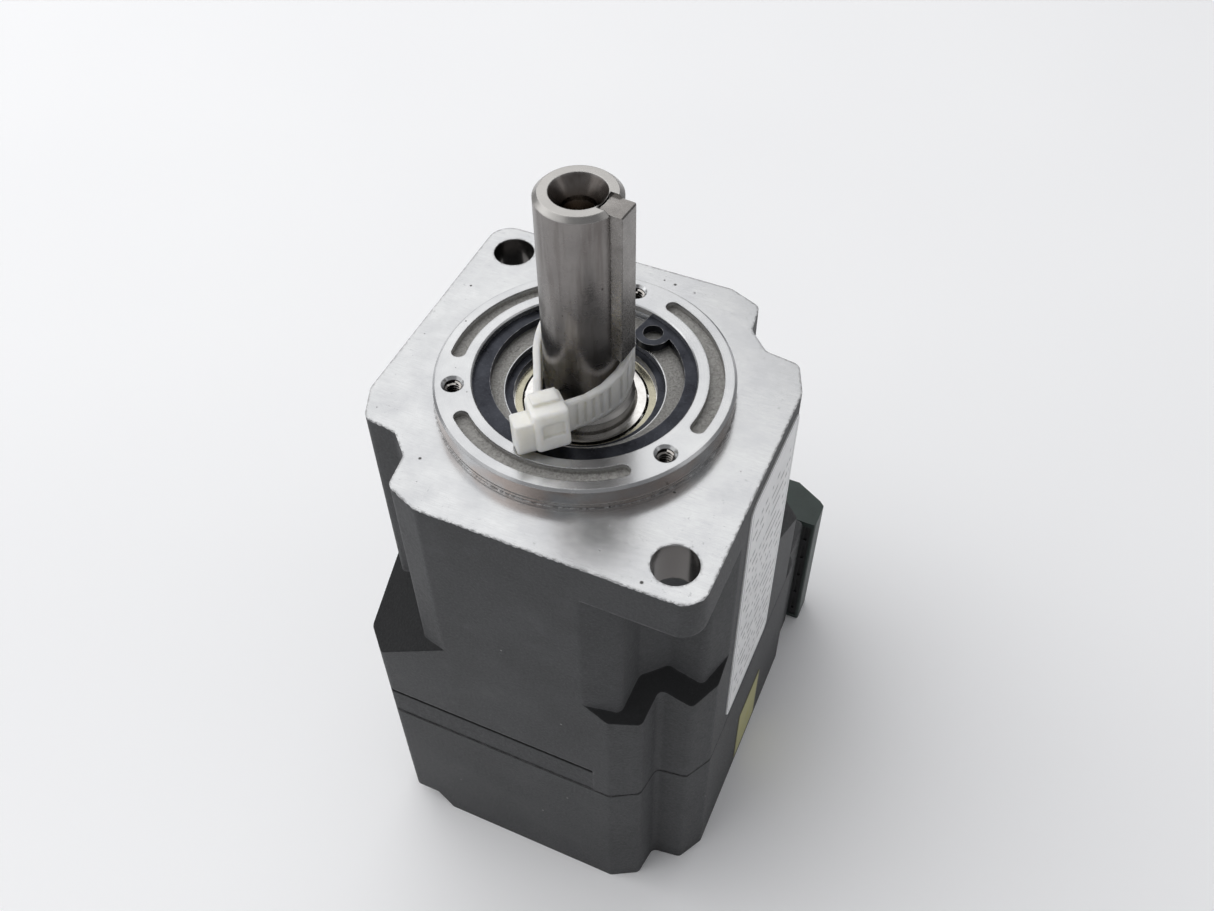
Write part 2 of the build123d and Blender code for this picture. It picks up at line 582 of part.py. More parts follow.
def make_cable_tie():
    """Nylon tie: a leaning loop round the shaft, pulled through a square head in front of it."""
    outer_r = TIE_LOOP_R + TIE_STRAP_THICKNESS
    band = tie_loop(outer_r, 0.0) - tie_loop(TIE_LOOP_R, TIE_STRAP_THICKNESS)
    band &= tie_slab(0.0)
    grooves = []
    for index in range(20):
        angle = -20.0 + 12.0 * index
        grooves.append(Rot(0, 0, angle) * block(outer_r - 0.35, outer_r + 1.0, -0.4, 0.4, 0, 30))
    for index in range(5):
        along = 2.0 + 2.1 * index
        x = TIE_NECK_RIGHT[0] + along * 0.39
        y = TIE_NECK_RIGHT[1] + along * 0.92
        grooves.append(Pos(x, y, 15.0) * Rot(0, 0, 67.0) * Box(0.8, 0.9, 30.0))
    band -= join(grooves) & tie_slab(1.0)
    # the head is a box turned about the shaft axis and tipped back a little
    half_width, half_height, half_depth = TIE_HEAD_HALF
    head = Box(2 * half_width, 2 * half_depth, 2 * half_height)
    head = fillet(head.edges().filter_by(Axis.Z), 1.0)
    head = fillet(head.edges().filter_by(lambda edge: abs(edge.tangent_at(0.5).Z) < 0.5), 0.6)
    stub = Pos(-half_width - 1.2, -half_depth + 3.1, -0.9) * Box(4.6, 4.4, 2 * half_height - 2.2)
    stub = fillet(stub.edges().filter_by(Axis.Z), 0.6)
    rib = Pos(0, half_depth * 0.35, half_height - 0.4) * Box(2 * half_width - 1.6, 3.4, 2.0)
    window = Pos(0.2, -half_depth, 0.3) * Box(4.2, 1.2, 3.0)
    head = head + stub + rib - window
    head = Pos(*TIE_HEAD_CENTRE) * Rot(0, 0, TIE_HEAD_TURN) * Rot(-TIE_HEAD_TIP, 0, 0) * head
    return band + head


# ---------------------------------------------------------------- motor group

def make_motor_flange():
    plate = disc(MOTOR_BORE_R, MOTOR_FLANGE_BOTTOM_Z, MOTOR_BORE_TOP_Z)
    plate += disc(15.0, MOTOR_FRONT_BEARING_TOP_Z - MOTOR_BEARING_WIDTH, MOTOR_FLANGE_BOTTOM_Z + 1)
    plate -= disc(8.0, -56.5, MOTOR_BORE_TOP_Z + 1)
    plate -= disc(6.0, -58.5, -56.0)
    plate -= disc(MOTOR_BEARING_R, MOTOR_FRONT_BEARING_TOP_Z - 9, MOTOR_FRONT_BEARING_TOP_Z)
    for index in range(4):
        x, y = polar(MOTOR_SCREW_CIRCLE_R, 90.0 * index)
        plate -= disc(1.4, MOTOR_FLANGE_BOTTOM_Z - 1, MOTOR_BORE_TOP_Z + 1, x, y)
    return plate


def make_motor_flange_screws():
    points = [polar(MOTOR_SCREW_CIRCLE_R, 90.0 * index) for index in range(4)]
    return screw_group(points, MOTOR_FLANGE_BOTTOM_Z, 1.25, 2.25, 2.5, 12.5)


def make_motor_shaft_seal():
    seal = turned(((4.6, -53.2), (8.0, -53.2), (8.0, -56.4), (6.6, -56.4), (6.6, -54.4), (4.6, -54.4)))
    lip = turned(((4.05, -55.2), (4.6, -54.4), (5.2, -54.4), (4.8, -55.6), (4.05, -55.6)))
    return seal + lip


def make_stator_core():
    core = tube(MOTOR_BORE_R, 31.0, STATOR_BOTTOM_Z, STATOR_TOP_Z)
    for index in range(TOOTH_COUNT):
        angle = 360.0 / TOOTH_COUNT * index
        tooth = block(20.5, 32.0, -2.2, 2.2, STATOR_BOTTOM_Z, STATOR_TOP_Z)
        core += Rot(0, 0, angle) * tooth
        shoe = tube(21.0, STATOR_BORE_R, STATOR_BOTTOM_Z, STATOR_TOP_Z)
        sector = [(0, 0), polar(40.0, angle - 11.5), polar(40.0, angle), polar(40.0, angle + 11.5)]
        core += shoe & prism(sector, STATOR_BOTTOM_Z - 1, STATOR_TOP_Z + 1)
    return core


def make_stator_windings():
    coils = []
    for index in range(TOOTH_COUNT):
        coil = block(21.9, 30.0, -4.3, 4.3, STATOR_BOTTOM_Z - 2.3, STATOR_TOP_Z + 2.3)
        coil -= block(20.0, 32.0, -2.25, 2.25, STATOR_BOTTOM_Z - 0.05, STATOR_TOP_Z + 0.05)
        spread = prism([(8.5, 0), polar(45.0, -12.6), polar(45.0, 12.6)], -95.0, -60.0)
        coils.append(Rot(0, 0, 360.0 / TOOTH_COUNT * index) * (coil & spread))
    return join(coils)


def make_rotor_shaft():
    profile = [(0, -112.0), (MOTOR_SHAFT_R - 0.3, -112.0), (MOTOR_SHAFT_R, -111.7), (MOTOR_SHAFT_R, -97.0)]
    profile += [(5.5, -97.0), (5.5, -64.5), (MOTOR_SHAFT_R, -64.5), (MOTOR_SHAFT_R, -52.0)]
    profile += [(SUN_SHAFT_R, -52.0), (SUN_SHAFT_R, -34.3), (SUN_SHAFT_R - 0.4, -33.9), (0, -33.9)]
    return turned(profile)


def make_rotor_core():
    core = tube(ROTOR_CORE_R, 5.5, STATOR_BOTTOM_Z, STATOR_TOP_Z)
    for index in range(POLE_COUNT):
        x, y = polar(9.4, 360.0 / POLE_COUNT * (index + 0.5))
        core -= disc(1.8, STATOR_BOTTOM_Z - 1, STATOR_TOP_Z + 1, x, y)
    return core


def make_rotor_magnets():
    magnets = []
    ring = tube(MAGNET_R, ROTOR_CORE_R, STATOR_BOTTOM_Z, STATOR_TOP_Z)
    for index in range(POLE_COUNT):
        angle = 360.0 / POLE_COUNT * index
        sector = [(0, 0), polar(40.0, angle - 20.5), polar(40.0, angle), polar(40.0, angle + 20.5)]
        magnets.append(ring & prism(sector, STATOR_BOTTOM_Z - 1, STATOR_TOP_Z + 1))
    return join(magnets)


def make_encoder_magnet():
    return disc(3.0, -114.5, -112.0)


# ---------------------------------------------------------------- electronics and outside trim

def make_control_board():
    top = BOARD_TOP_Z
    board = block(-BOARD_HALF_WIDTH, BOARD_HALF_WIDTH, BOARD_FRONT_Y, BOARD_REAR_Y, top - BOARD_THICKNESS, top)
    for x, y in BOARD_SCREW_POINTS:
        board -= disc(1.2, top - 4, top + 1, x, y)
    for x, y in HOUSING_SCREW_POINTS:
        board -= disc(5.0, top - 4, top + 1, x, y)
    # the corner beside the notch of the casting is cut away
    board -= block(19.0, BOARD_HALF_WIDTH + 1, BOARD_FRONT_Y - 1, -18.5, top - 4, top + 1)
    return board


def make_board_screws():
    return screw_group(BOARD_SCREW_POINTS, BOARD_TOP_Z - BOARD_THICKNESS, 1.0, 1.9, 1.6, 8.0)


def make_board_capacitors():
    cans = []
    for x, y in ((-15.0, 20.0), (0.0, 23.0), (15.0, 20.0)):
        can = disc(5.0, BOARD_TOP_Z, BOARD_TOP_Z + 11.0, x, y)
        can -= tube(5.5, 4.7, BOARD_TOP_Z + 1.6, BOARD_TOP_Z + 2.4, x, y)
        cans.append(can)
    return join(cans)


def make_encoder_chip():
    return block(-3.0, 3.0, -2.5, 2.5, BOARD_TOP_Z, BOARD_TOP_Z + 1.2)


def make_power_connector():
    body = block(-16.0, 16.0, 38.0, 47.5, BOARD_TOP_Z, BOARD_TOP_Z + 9.0)
    for index in range(6):
        x = -12.5 + 5.0 * index
        body -= block(x - 1.6, x + 1.6, 40.0, 48.0, BOARD_TOP_Z + 2.0, BOARD_TOP_Z + 7.0)
    return body


def make_connector_pins():
    pins = []
    for index in range(6):
        x = -12.5 + 5.0 * index
        pins.append(block(x - 0.5, x + 0.5, 40.0, 46.5, BOARD_TOP_Z + 4.0, BOARD_TOP_Z + 5.0))
    return join(pins)


def make_rating_label():
    plate = block(40.0, 40.3, -12.6, 16.0, -84.0, -4.2)
    corners = [e for e in plate.edges() if abs(e.tangent_at(0.5).X) > 0.9]
    return fillet(corners, 2.5)


def make_caution_sticker():
    plate = block(40.0, 40.15, 2.4, 18.4, -132.4, -109.0)
    corners = [e for e in plate.edges() if abs(e.tangent_at(0.5).X) > 0.9]
    return fillet(corners, 1.0)


def make_housing_screws():
    return screw_group(HOUSING_SCREW_POINTS, -127.5, 1.5, 2.75, 3.0, 49.5)


def make_cover_screws():
    return screw_group(COVER_SCREW_POINTS, BASE_Z + 2.2, 1.25, 2.6, 2.0, 10.5)


def make_hood_screws():
    screws = []
    for x in (-27.0, 27.0):
        screw = Rot(90, 0, 0) * socket_screw(1.25, 2.7, 2.5, 13.0)
        screws.append(Pos(x, HOOD_END_Y - 3.0, -98.0) * screw)
    return join(screws)


def front_bearing_parts():
    top = FRONT_BEARING_TOP_Z
    width = FRONT_BEARING_WIDTH
    return {
        "front_bearing_outer_ring": bearing_outer_ring(FRONT_SEAT_R, 14.2, 13.2, 1.6, top, width),
        "front_bearing_inner_ring": bearing_inner_ring(SHAFT_SEAT_R, 12.2, 13.2, 1.6, top, width),
        "front_bearing_balls": bearing_balls(14, 13.2, 1.6, top, width),
    }


def rear_bearing_parts():
    top = REAR_BEARING_TOP_Z
    width = REAR_BEARING_WIDTH
    return {
        "rear_bearing_outer_ring": bearing_outer_ring(REAR_SEAT_R, 17.6, 15.5, 3.1, top, width),
        "rear_bearing_inner_ring": bearing_inner_ring(SHAFT_SEAT_R, 13.4, 15.5, 3.1, top, width),
        "rear_bearing_balls": bearing_balls(9, 15.5, 3.1, top, width),
    }


def motor_bearing_parts(name, top):
    width = MOTOR_BEARING_WIDTH
    return {
        name + "_outer_ring": bearing_outer_ring(MOTOR_BEARING_R, 8.9, 7.5, 2.0, top, width),
        name + "_inner_ring": bearing_inner_ring(MOTOR_SHAFT_R, 6.1, 7.5, 2.0, top, width),
        name + "_balls": bearing_balls(7, 7.5, 2.0, top, width),
    }


def all_parts():
    parts = {
        "front_housing": make_front_housing(),
        "pilot_circlip": make_pilot_circlip(),
        "bearing_circlip": make_bearing_circlip(),
        "front_bearing_shields": make_front_bearing_shields(),
        "ring_gear": make_ring_gear(),
        "motor_flange": make_motor_flange(),
        "motor_flange_screws": make_motor_flange_screws(),
        "motor_shaft_seal": make_motor_shaft_seal(),
        "stator_core": make_stator_core(),
        "stator_windings": make_stator_windings(),
        "housing_gasket": make_housing_gasket(),
        "rear_housing": make_rear_housing(),
        "housing_screws": make_housing_screws(),
        "control_board": make_control_board(),
        "board_screws": make_board_screws(),
        "board_capacitors": make_board_capacitors(),
        "encoder_chip": make_encoder_chip(),
        "power_connector": make_power_connector(),
        "connector_pins": make_connector_pins(),
        "bottom_cover": make_bottom_cover(),
        "cover_screws": make_cover_screws(),
        "connector_hood": make_connector_hood(),
        "cable_entry_seals": make_cable_entry_seals(),
        "hood_screws": make_hood_screws(),
        "rating_label": make_rating_label(),
        "caution_sticker": make_caution_sticker(),
        "output_shaft": make_output_shaft(),
        "shaft_key": make_shaft_key(),
        "cable_tie": make_cable_tie(),
        "bearing_spacer": make_bearing_spacer(),
        "carrier_plate": make_carrier_plate(),
        "carrier_screws": make_carrier_screws(),
        "planet_pins": make_planet_pins(),
        "rotor_shaft": make_rotor_shaft(),
        "sun_gear": make_sun_gear(),
        "rotor_core": make_rotor_core(),
        "rotor_magnets": make_rotor_magnets(),
        "encoder_magnet": make_encoder_magnet(),
    }
    parts.update(front_bearing_parts())
    parts.update(rear_bearing_parts())
    parts.update(motor_bearing_parts("motor_front_bearing", MOTOR_FRONT_BEARING_TOP_Z))
    parts.update(motor_bearing_parts("motor_rear_bearing", MOTOR_REAR_BEARING_TOP_Z))
    for index, angle in enumerate(PLANET_ANGLES):
        parts["planet_gear_%d" % (index + 1)] = make_planet_gear(angle)
        parts["planet_bushing_%d" % (index + 1)] = make_planet_bushing(angle)
    return parts


os.makedirs("parts", exist_ok=True)
for node_name, node_shape in all_parts().items():
    export_step(node_shape, "parts/" + node_name + ".step")
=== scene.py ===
import json
import math

import bpy
from mathutils import Matrix, Vector


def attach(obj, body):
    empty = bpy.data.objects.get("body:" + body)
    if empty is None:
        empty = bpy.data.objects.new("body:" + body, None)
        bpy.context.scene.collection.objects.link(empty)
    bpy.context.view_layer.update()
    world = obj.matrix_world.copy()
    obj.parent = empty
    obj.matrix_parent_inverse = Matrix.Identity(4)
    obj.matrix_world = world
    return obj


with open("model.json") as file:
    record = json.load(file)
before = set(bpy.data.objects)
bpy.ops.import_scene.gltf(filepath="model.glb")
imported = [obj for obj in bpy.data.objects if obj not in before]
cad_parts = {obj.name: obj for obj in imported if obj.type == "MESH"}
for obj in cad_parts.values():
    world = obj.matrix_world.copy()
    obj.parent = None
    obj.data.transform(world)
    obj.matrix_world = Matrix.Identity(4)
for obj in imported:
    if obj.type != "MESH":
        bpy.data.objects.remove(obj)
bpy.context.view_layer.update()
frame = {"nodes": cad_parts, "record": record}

NODES = frame["nodes"]
MM = 0.001

# Sizes and places on the object in millimetres, where the looks and threads need them.
SEAM_Z = -88.0
MOTOR_BORE_R = 37.05
PILOT_R = 30.0
BEARING_RECESS_R = 22.3
FLANGE_HOLE_R = 4.53
FLANGE_HOLE_OFFSET = 32.4
THREAD_CIRCLE_R = 26.0
THREAD_ANGLES = (90.0, 210.0, 330.0)
SHAFT_TIP_Z = 48.0
FLOOR_Z = -135.05

# Thread crests standing inwards from the core holes' walls.
THREAD_STEPS_PER_TURN = 28
M4_THREAD = {"radius": 1.67, "depth": 0.36, "pitch": 0.7, "z_top": 4.0, "z_low": -6.0}
M6_THREAD = {"radius": 2.5, "depth": 0.3, "pitch": 1.0, "z_top": 43.2, "z_low": 30.0}

# Charcoal paint of both castings, and how much it shines on open faces and on the faces darkened as
# painted shade.
PAINT_COLOR = (0.038, 0.039, 0.041)
PAINT_SPECULAR = 0.34
SHADED_FACE_SPECULAR = 0.15


def thread_centre(angle):
    """X and Y of the pilot's threaded hole at the given angle in degrees."""
    turn = math.radians(angle)
    return THREAD_CIRCLE_R * math.cos(turn), THREAD_CIRCLE_R * math.sin(turn)


# ---------------------------------------------------------------- small node-tree helpers

class Tree:
    """Short ways to write a procedural material.

    x, y, z and mm are object coordinates in millimetres. Masks run from 0 to 1.
    """

    def __init__(self, name):
        self.material = bpy.data.materials.new(name)
        self.material.use_nodes = True
        self.nodes = self.material.node_tree.nodes
        self.links = self.material.node_tree.links
        self.nodes.clear()
        self.output = self.nodes.new("ShaderNodeOutputMaterial")
        self.shader = self.nodes.new("ShaderNodeBsdfPrincipled")
        self.links.new(self.shader.outputs["BSDF"], self.output.inputs["Surface"])
        coords = self.nodes.new("ShaderNodeTexCoord")
        scale = self.nodes.new("ShaderNodeVectorMath")
        scale.operation = "SCALE"
        scale.inputs["Scale"].default_value = 1000.0
        self.links.new(coords.outputs["Object"], scale.inputs[0])
        self.mm = scale.outputs[0]
        split = self.nodes.new("ShaderNodeSeparateXYZ")
        self.links.new(self.mm, split.inputs[0])
        self.x, self.y, self.z = split.outputs

    def put(self, socket, value):
        if isinstance(value, bpy.types.NodeSocket):
            self.links.new(value, socket)
        elif isinstance(value, (tuple, list)) and len(socket.default_value) == 4:
            socket.default_value = tuple(value)[:3] + (1.0,)
        else:
            socket.default_value = value

    def math(self, operation, a, b=0.0):
        node = self.nodes.new("ShaderNodeMath")
        node.operation = operation
        for socket, value in zip(node.inputs, (a, b)):
            self.put(socket, value)
        return node.outputs[0]

    def add(self, a, b):
        return self.math("ADD", a, b)

    def mul(self, a, b):
        return self.math("MULTIPLY", a, b)

    def sub(self, a, b):
        return self.math("SUBTRACT", a, b)

    def either(self, a, b):
        return self.math("MAXIMUM", a, b)

    def ramp(self, value, low, high, out_low=0.0, out_high=1.0):
        node = self.nodes.new("ShaderNodeMapRange")
        node.clamp = True
        for socket, entry in zip(node.inputs, (value, low, high, out_low, out_high)):
            self.put(socket, entry)
        return node.outputs[0]

    def within(self, value, low, high, soft=0.05):
        rising = self.ramp(value, low - soft, low + soft)
        falling = self.ramp(value, high - soft, high + soft, 1.0, 0.0)
        return self.mul(rising, falling)

    def radius(self, cx=0.0, cy=0.0):
        dx = self.sub(self.x, cx)
        dy = self.sub(self.y, cy)
        return self.math("SQRT", self.add(self.mul(dx, dx), self.mul(dy, dy)))

    def stretched(self, sx, sy, sz):
        node = self.nodes.new("ShaderNodeVectorMath")
        node.operation = "MULTIPLY"
        self.links.new(self.mm, node.inputs[0])
        node.inputs[1].default_value = (sx, sy, sz)
        return node.outputs[0]

    def combined(self, a, b, c):
        node = self.nodes.new("ShaderNodeCombineXYZ")
        for socket, value in zip(node.inputs, (a, b, c)):
            self.put(socket, value)
        return node.outputs[0]

    def noise(self, scale, detail=3.0, rough=0.55, vector=None):
        node = self.nodes.new("ShaderNodeTexNoise")
        self.links.new(vector or self.mm, node.inputs["Vector"])
        node.inputs["Scale"].default_value = scale
        node.inputs["Detail"].default_value = detail
        node.inputs["Roughness"].default_value = rough
        return node.outputs["Fac"]

    def cells(self, scale):
        node = self.nodes.new("ShaderNodeTexVoronoi")
        self.links.new(self.mm, node.inputs["Vector"])
        node.inputs["Scale"].default_value = scale
        return node

    def specks(self, scale, size, share):
        """Small dark dots: one in a few cells, each of a different size."""
        node = self.cells(scale)
        tone = self.nodes.new("ShaderNodeSeparateColor")
        self.links.new(node.outputs["Color"], tone.inputs[0])
        chosen = self.ramp(tone.outputs[0], 1.0 - share, 1.0 - share + 0.002)
        reach = self.mul(tone.outputs[1], size)
        dot = self.ramp(node.outputs["Distance"], self.mul(reach, 0.6), reach, 1.0, 0.0)
        return self.mul(chosen, dot)

    def mix(self, fac, a, b):
        node = self.nodes.new("ShaderNodeMix")
        node.data_type = "RGBA"
        self.put(node.inputs["Factor"], fac)
        self.put(node.inputs[6], a)
        self.put(node.inputs[7], b)
        return node.outputs[2]

    def blend(self, fac, a, b):
        node = self.nodes.new("ShaderNodeMix")
        node.data_type = "FLOAT"
        self.put(node.inputs["Factor"], fac)
        self.put(node.inputs[2], a)
        self.put(node.inputs[3], b)
        return node.outputs[0]

    def edge(self, width_mm):
        """Mask of the sharp outer and inner edges."""
        bevel = self.nodes.new("ShaderNodeBevel")
        bevel.samples = 4
        bevel.inputs["Radius"].default_value = width_mm * MM
        geometry = self.nodes.new("ShaderNodeNewGeometry")
        dot = self.nodes.new("ShaderNodeVectorMath")
        dot.operation = "DOT_PRODUCT"
        self.links.new(bevel.outputs[0], dot.inputs[0])
        self.links.new(geometry.outputs["Normal"], dot.inputs[1])
        return self.ramp(self.sub(1.0, dot.outputs["Value"]), 0.02, 0.22)

    def facing_up(self):
        """Z of the surface normal: 1 where it looks up, 0 upright, -1 where it looks down."""
        geometry = self.nodes.new("ShaderNodeNewGeometry")
        split = self.nodes.new("ShaderNodeSeparateXYZ")
        self.links.new(geometry.outputs["Normal"], split.inputs[0])
        return split.outputs["Z"]

    def level(self):
        """Mask of the faces that are level and look up."""
        return self.ramp(self.facing_up(), 0.9, 0.97)

    def underside(self):
        """Mask of the faces that look down."""
        return self.ramp(self.facing_up(), -0.15, -0.5)

    def ledge(self):
        """Mask of the faces that slope and look up, where the paint is darkened as painted shade.
        """
        return self.mul(self.ramp(self.facing_up(), 0.12, 0.3), self.sub(1.0, self.level()))

    def rounded(self, radius_mm):
        """Normal that rounds sharp edges over the given radius."""
        bevel = self.nodes.new("ShaderNodeBevel")
        bevel.samples = 4
        radius = self.mul(radius_mm, MM)
        self.links.new(radius, bevel.inputs["Radius"])
        return bevel.outputs[0]

    def bump(self, height, distance_mm, strength=1.0, chain=None):
        node = self.nodes.new("ShaderNodeBump")
        node.inputs["Strength"].default_value = strength
        node.inputs["Distance"].default_value = distance_mm * MM
        self.links.new(height, node.inputs["Height"])
        if chain is not None:
            self.links.new(chain, node.inputs["Normal"])
        return node.outputs[0]

    def finish(self, **sockets):
        names = {
            "color": "Base Color",
            "metal": "Metallic",
            "rough": "Roughness",
            "normal": "Normal",
            "aniso": "Anisotropic",
            "tangent": "Tangent",
            "specular": "Specular IOR Level",
            "subsurface": "Subsurface Weight",
            "subsurface_scale": "Subsurface Scale",
            "subsurface_radius": "Subsurface Radius",
        }
        for key, value in sockets.items():
            self.put(self.shader.inputs[names[key]], value)
        return self.material

    def radial_tangent(self):
        node = self.nodes.new("ShaderNodeTangent")
        node.direction_type = "RADIAL"
        node.axis = "Z"
        return node.outputs[0]


def shade_color(color, factor):
    return tuple(min(1.0, channel * factor) for channel in color)


# ---------------------------------------------------------------- materials

def paint_layer(t):
    """Colour, roughness, height, and the mask of faces in painted shade that sets the shine, of
    textured casting paint with dust, painted shade and rubbed edges that are partly painted
    highlight.
    """
    grain = t.noise(1.5, 4.0, 0.6)
    fine = t.noise(5.0, 2.0, 0.6)
    cloud = t.noise(0.06, 3.0, 0.6)
    dark, light = shade_color(PAINT_COLOR, 0.82), shade_color(PAINT_COLOR, 1.2)
    body = t.mix(t.ramp(cloud, 0.3, 0.7), dark, light)
    body = t.mix(t.mul(t.ramp(fine, 0.48, 0.7), 0.55), body, shade_color(PAINT_COLOR, 2.1))
    scuff = t.mul(t.ramp(t.noise(0.16, 5.0, 0.75), 0.56, 0.74), t.ramp(grain, 0.45, 0.6))
    body = t.mix(t.mul(scuff, 0.45), body, shade_color(PAINT_COLOR, 3.0))
    dust = t.specks(0.55, 0.16, 0.035)
    body = t.mix(t.mul(dust, 0.6), body, (0.33, 0.33, 0.32))
    # lighter edges: partly rubbed paint, partly painted highlight
    rubbed_and_highlit_edge = t.mul(t.edge(0.8), t.ramp(t.noise(0.45, 4.0, 0.7), 0.40, 0.60))
    body = t.mix(t.mul(rubbed_and_highlit_edge, 0.6), body, (0.24, 0.24, 0.245))

    # painted shade: the paint is darkened on the ramps and on the faces that look down, and along
    # the seam on the upright faces, where it is partly dirt in the joint
    near_seam = t.within(t.z, SEAM_Z - 0.75, SEAM_Z + 0.35, 0.2)
    # dark band along the seam: partly dirt in the joint, partly painted shade
    seam_dirt_and_shade = t.mul(near_seam, t.ramp(t.noise(0.25, 3.0, 0.6), 0.3, 0.55, 0.45, 1.0))
    body = t.mix(t.mul(seam_dirt_and_shade, t.sub(1.0, t.level())), body, (0.004, 0.004, 0.005))
    # painted shade on down-facing faces and up-sloping ledges; the same mask also dulls their shine
    underside, ledge = t.underside(), t.ledge()
    shaded = t.either(t.mul(underside, 0.9), t.mul(ledge, 0.7))
    body = t.mix(shaded, body, shade_color(PAINT_COLOR, 0.12))

    rough = t.ramp(grain, 0.3, 0.7, 0.5, 0.68)
    height = t.add(t.mul(grain, 0.7), t.mul(fine, 0.3))
    return body, rough, height, t.either(underside, ledge)


def make_painted_casting(name):
    """The rear casting, painted all over."""
    t = Tree(name)
    body, rough, height, shaded_faces = paint_layer(t)
    normal = t.bump(height, 0.2, 0.75, t.rounded(0.9))
    return t.finish(
        color=body, rough=rough, metal=0.0, normal=normal,
        specular=t.blend(shaded_faces, PAINT_SPECULAR, SHADED_FACE_SPECULAR))


def flange_hole_walls(t):
    """A mask for the wall of each of the two flange holes."""
    walls = []
    for side in (-1, 1):
        near_hole = t.radius(side * FLANGE_HOLE_OFFSET, -side * FLANGE_HOLE_OFFSET)
        across = t.ramp(near_hole, FLANGE_HOLE_R, FLANGE_HOLE_R + 0.07, 1.0, 0.0)
        walls.append(t.mul(across, t.ramp(t.z, -11.6, -11.5)))
    return walls


def bare_metal(t, r, hole_walls):
    """Mask of the machined faces: all above a chipped line at the flange face, and the bores."""
    chips = t.ramp(t.noise(0.9, 4.0, 0.75), 0.35, 0.75, -0.05, -0.75)
    bare = t.ramp(t.sub(t.z, chips), -0.06, 0.06)
    for wall in hole_walls:
        bare = t.either(bare, wall)
    in_motor_bore = t.ramp(r, MOTOR_BORE_R, MOTOR_BORE_R + 0.05, 1.0, 0.0)
    above_seam = t.ramp(t.z, SEAM_Z + 0.1, SEAM_Z, 1.0, 0.0)
    bare = t.either(bare, t.mul(in_motor_bore, above_seam))
    in_recess = t.ramp(r, BEARING_RECESS_R, BEARING_RECESS_R + 0.1, 1.0, 0.0)
    return t.either(bare, t.mul(in_recess, t.ramp(t.z, -9.0, -8.9)))


def cast_skin(t, r):
    """Mask of the sandy floor round the bearing and of the arc slots, and one of the threads."""
    ring_floor = t.mul(t.within(t.z, 0.9, 1.2, 0.08), t.ramp(r, 16.2, 16.3))
    slots = t.mul(t.within(r, 24.4, 27.8, 0.04), t.within(t.z, 2.2, 4.3, 0.2))
    threads = 0.0
    for angle in THREAD_ANGLES:
        from_hole = t.radius(*thread_centre(angle))
        slots = t.mul(slots, t.ramp(from_hole, 2.4, 2.5))
        threads = t.either(threads, t.ramp(from_hole, 1.68, 1.75, 1.0, 0.0))
    return t.either(ring_floor, slots), threads


def make_machined_casting(name):
    """The front casting: charcoal paint, with flange, pilot, holes and bores machined bare."""
    t = Tree(name)
    paint, paint_rough, paint_grain, shaded_faces = paint_layer(t)
    r = t.radius()
    hole_walls = flange_hole_walls(t)
    bare = bare_metal(t, r, hole_walls)
    as_cast, threads = cast_skin(t, r)

    # machined faces: straight milling marks on the flange, rings on the pilot, and a warm tint on
    # the pilot side that is a painted reflection
    cloudy = t.noise(0.09, 4.0, 0.6)
    milled = t.noise(1.0, 3.0, 0.6, t.stretched(0.25, 5.0, 1.0))
    turned = t.noise(1.0, 2.0, 0.5, t.combined(t.mul(r, 7.0), t.mul(t.z, 7.0), 0.0))
    marks = t.blend(t.ramp(r, PILOT_R + 0.3, PILOT_R + 0.5, 1.0, 0.0), milled, turned)
    metal = t.mix(t.ramp(cloudy, 0.3, 0.7), (0.41, 0.415, 0.425), (0.56, 0.565, 0.565))
    metal = t.mix(t.mul(t.ramp(marks, 0.35, 0.65), 0.3), metal, (0.38, 0.38, 0.39))
    pilot_side = t.within(r, PILOT_R - 0.2, PILOT_R + 0.2, 0.05)
    pilot_side = t.mul(pilot_side, t.within(t.z, 0.1, 4.4, 0.1))
    # painted reflection: warm patches on the pilot's side wall
    painted_warm_reflection = t.mul(pilot_side, t.ramp(t.noise(0.12, 2.0, 0.5), 0.4, 0.6))
    metal = t.mix(t.mul(painted_warm_reflection, 0.7), metal, (0.46, 0.37, 0.32))

    # painted shade darkening the hole walls and the threaded holes, small pits, and a nicked rim
    below_face = t.ramp(t.z, -0.4, -0.2, 1.0, 0.0)
    for wall in hole_walls:
        metal = t.mix(t.mul(t.mul(wall, below_face), 0.85), metal, (0.085, 0.075, 0.068))
    metal = t.mix(t.mul(threads, 0.95), metal, (0.035, 0.032, 0.03))
    nicks = t.mul(t.edge(1.0), t.ramp(t.noise(0.8, 5.0, 0.85), 0.47, 0.53))
    nicks = t.mul(nicks, t.ramp(t.z, 0.3, 0.5, 1.0, 0.2))
    pits = t.either(t.either(t.specks(0.42, 0.2, 0.16), t.specks(0.16, 0.09, 0.3)), nicks)
    metal = t.mix(t.mul(pits, 0.9), metal, (0.05, 0.048, 0.045))
    metal_rough = t.add(t.ramp(cloudy, 0.3, 0.7, 0.17, 0.26), t.mul(pits, 0.3))

    sand = t.noise(1.9, 4.0, 0.8)
    sandy = t.mix(t.ramp(sand, 0.3, 0.7), (0.17, 0.165, 0.155), (0.50, 0.49, 0.47))

    painted = t.sub(1.0, bare)
    paint_height = t.mul(t.mul(paint_grain, painted), 1.5)
    metal_height = t.mul(t.mul(marks, bare), 0.06)
    sand_height = t.mul(t.mul(sand, as_cast), 2.2)
    height = t.add(t.add(paint_height, metal_height), t.add(sand_height, t.mul(pits, -0.15)))
    return t.finish(
        color=t.mix(as_cast, t.mix(bare, paint, metal), sandy),
        rough=t.blend(as_cast, t.blend(bare, paint_rough, metal_rough), 0.55),
        metal=t.mul(bare, t.blend(as_cast, 0.92, 0.35)),
        normal=t.bump(height, 0.16, 0.6, t.rounded(t.blend(bare, 0.9, 0.2))),
        specular=t.blend(t.mul(shaded_faces, painted), PAINT_SPECULAR, SHADED_FACE_SPECULAR))


